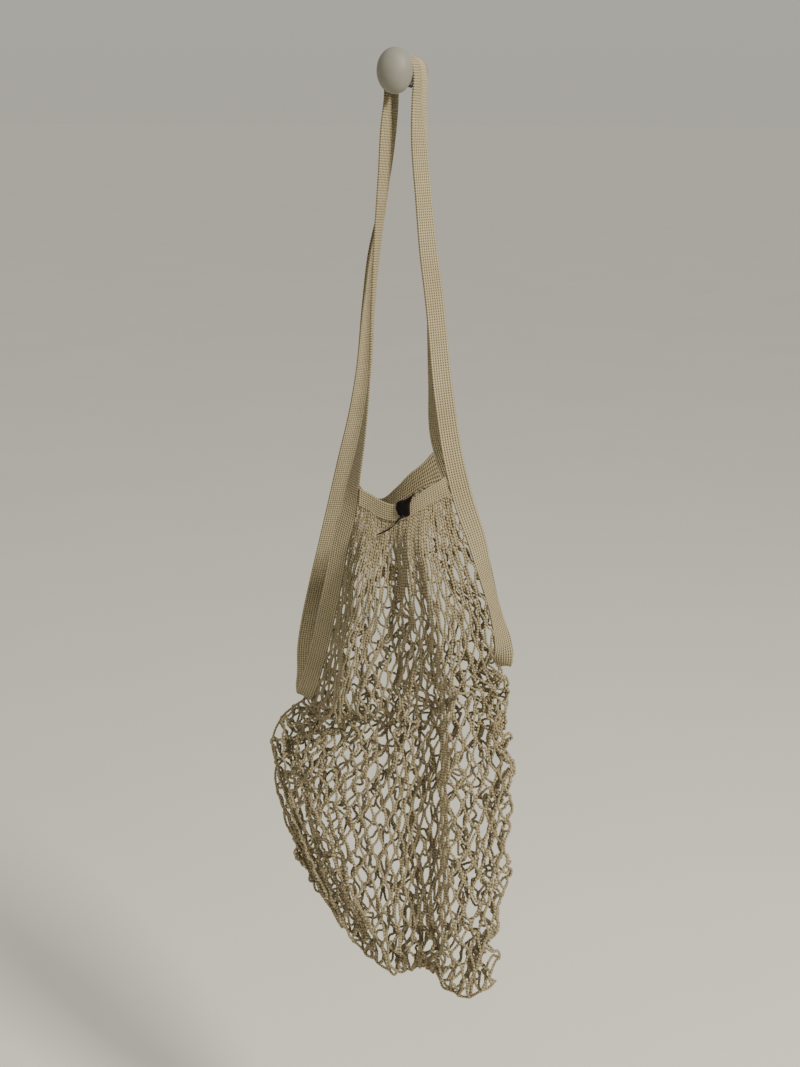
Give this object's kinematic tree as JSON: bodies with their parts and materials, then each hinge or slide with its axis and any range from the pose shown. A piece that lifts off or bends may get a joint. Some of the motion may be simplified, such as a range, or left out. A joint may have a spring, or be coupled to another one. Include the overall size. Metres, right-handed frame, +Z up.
{
  "type": "string bag on a wall knob",
  "caption": "Net shopping bag of knotless cotton mesh with knitted tape handles and mouth bands, hanging empty from an oval wall knob.",
  "frame": {"origin": "centre of the knob's flat back face, on the wall", "axes": "+Y into the wall, so the object stands off it along -Y; +Z up; +X to the right of someone who faces the wall"},
  "size_m": [0.2346, 0.095, 0.8094],
  "materials": {
    "knob_paint": "matt off-white paint on wood",
    "net_yarn": "undyed cotton yarn, knitted as an open net",
    "handle_tape": "undyed cotton tape, knitted in close ribs",
    "band_tape": "undyed cotton tape, knitted in close ribs",
    "label_cloth": "bare black woven label"
  },
  "bodies": {
    "root": {"knob": "knob_paint", "net_body": "net_yarn", "handle_front": "handle_tape", "handle_back": "handle_tape", "mouth_band_front": "band_tape", "mouth_band_back": "band_tape", "label": "label_cloth", "label_tail": "label_cloth"}
  },
  "joints": []
}
